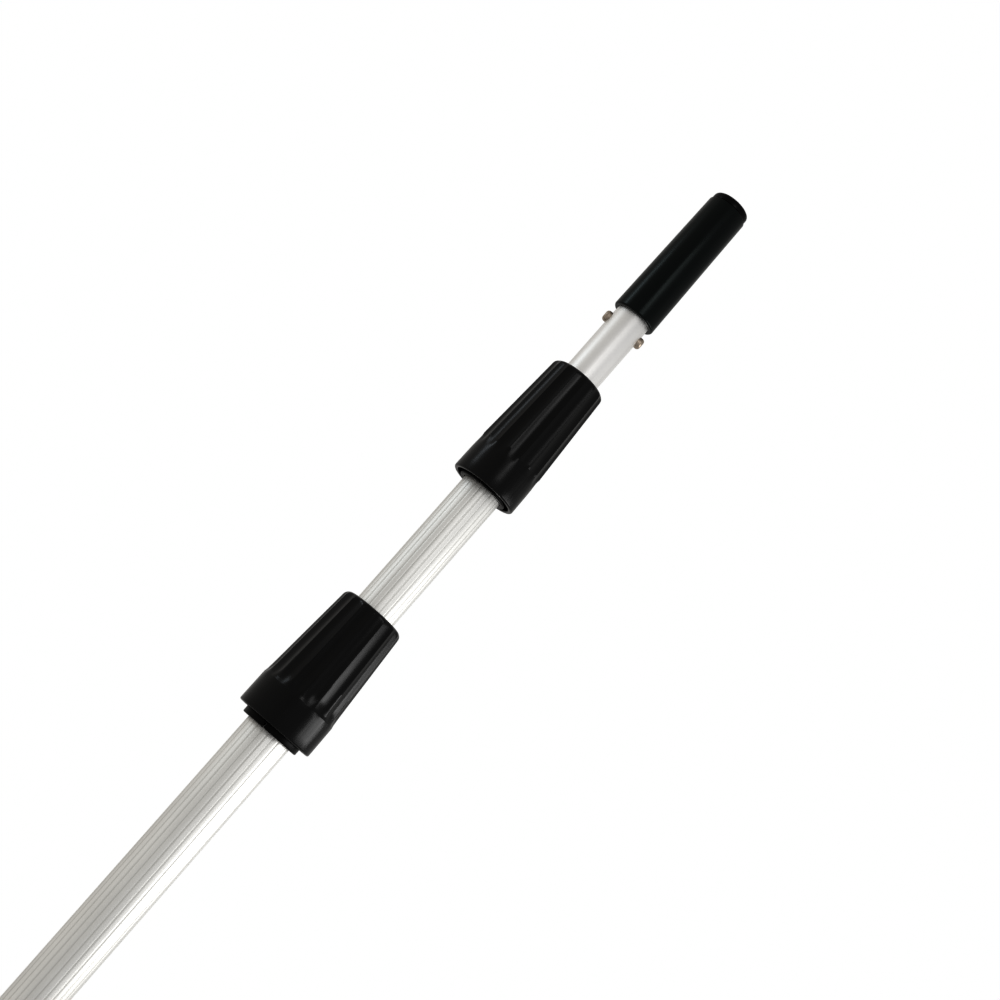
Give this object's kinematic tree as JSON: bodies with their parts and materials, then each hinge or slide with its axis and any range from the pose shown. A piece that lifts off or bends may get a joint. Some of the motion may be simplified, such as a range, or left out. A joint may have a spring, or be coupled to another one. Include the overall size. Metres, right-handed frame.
{
  "type": "roller extension pole",
  "caption": "Telescopic pole that holds a paint roller out of reach: nested aluminium tubes, twist lock collars and a tapered tip with spring snap buttons.",
  "frame": {"origin": "centre of the butt cap's flat foot", "axes": "+Z along the pole from the butt to the tip, snap buttons on +X and -X, hanging hole through the butt cap along Y"},
  "size_m": [0.056, 0.056, 1.0496],
  "materials": {
    "outer_aluminium": "drawn tube with fine lengthwise grooves, clear anodised",
    "inner_aluminium": "smooth drawn tube, bright",
    "collar_plastic": "black moulded nylon, satin",
    "tip_plastic": "black moulded nylon, satin",
    "cap_plastic": "black moulded polypropylene, satin",
    "grip_rubber": "black ribbed rubber",
    "ferrule_plastic": "black moulded nylon",
    "collet_acetal": "natural acetal",
    "plug_nylon": "grey moulded nylon",
    "button_metal": "steel with a warm passivated finish",
    "steel": "plain steel"
  },
  "bodies": {
    "outer_section": {"outer_tube": "outer_aluminium", "hand_grip": "grip_rubber", "butt_cap": "cap_plastic", "butt_cap_pin": "steel", "lower_ferrule": "ferrule_plastic", "lower_ferrule_pin_right": "steel", "lower_ferrule_pin_left": "steel", "lower_collet": "collet_acetal"},
    "lower_wedge": {"lower_wedge_ring": "plug_nylon"},
    "lower_collar": {"lower_lock_collar": "collar_plastic"},
    "middle_guide": {"middle_guide_ring": "collet_acetal"},
    "middle_section": {"middle_tube": "outer_aluminium", "middle_guide_plug": "plug_nylon", "middle_plug_pin": "steel", "upper_ferrule": "ferrule_plastic", "upper_ferrule_pin_right": "steel", "upper_ferrule_pin_left": "steel", "upper_collet": "collet_acetal"},
    "upper_wedge": {"upper_wedge_ring": "plug_nylon"},
    "upper_collar": {"upper_lock_collar": "collar_plastic"},
    "inner_guide": {"inner_guide_ring": "collet_acetal"},
    "inner_section": {"inner_tube": "inner_aluminium", "inner_guide_plug": "plug_nylon", "inner_plug_pin": "steel", "tip_cone": "tip_plastic", "tip_cap": "cap_plastic", "tip_rivet": "steel", "button_spring": "steel"},
    "right_button": {"right_snap_button": "button_metal"},
    "left_button": {"left_snap_button": "button_metal"}
  },
  "joints": [
    {"name": "lower_wedge_slide", "type": "slide", "parent": "outer_section", "child": "lower_wedge", "axis": [0, 0, 1], "range_m": [0, 0.005]},
    {"name": "lower_collar_turn", "type": "hinge", "parent": "lower_wedge", "child": "lower_collar", "pos_m": [0, 0, 0.64], "axis": [0, 0, 1], "range_deg": [0, 150]},
    {"name": "middle_slide", "type": "slide", "parent": "outer_section", "child": "middle_guide", "axis": [0, 0, 1], "range_m": [-0.098, 0.409]},
    {"name": "middle_turn", "type": "hinge", "parent": "middle_guide", "child": "middle_section", "pos_m": [0, 0, 0.64], "axis": [0, 0, 1], "continuous": true},
    {"name": "upper_wedge_slide", "type": "slide", "parent": "middle_section", "child": "upper_wedge", "axis": [0, 0, 1], "range_m": [0, 0.005]},
    {"name": "upper_collar_turn", "type": "hinge", "parent": "upper_wedge", "child": "upper_collar", "pos_m": [0, 0, 0.84], "axis": [0, 0, 1], "range_deg": [0, 150]},
    {"name": "inner_slide", "type": "slide", "parent": "middle_section", "child": "inner_guide", "axis": [0, 0, 1], "range_m": [-0.035, 0.443]},
    {"name": "inner_turn", "type": "hinge", "parent": "inner_guide", "child": "inner_section", "pos_m": [0, 0, 0.84], "axis": [0, 0, 1], "continuous": true},
    {"name": "right_button_press", "type": "slide", "parent": "inner_section", "child": "right_button", "axis": [-1, 0, 0], "range_m": [0, 0.0035], "stiffness_N_per_m": 1500, "springref_m": -0.0015, "deforming": ["button_spring"]},
    {"name": "left_button_press", "type": "slide", "parent": "inner_section", "child": "left_button", "axis": [1, 0, 0], "range_m": [0, 0.0035], "stiffness_N_per_m": 1500, "springref_m": -0.0015, "deforming": ["button_spring"]}
  ],
  "couplings": [
    {"joint": "lower_wedge_slide", "follows": "lower_collar_turn", "m_per_rad": 0.0019098},
    {"joint": "upper_wedge_slide", "follows": "upper_collar_turn", "m_per_rad": 0.0019098}
  ]
}
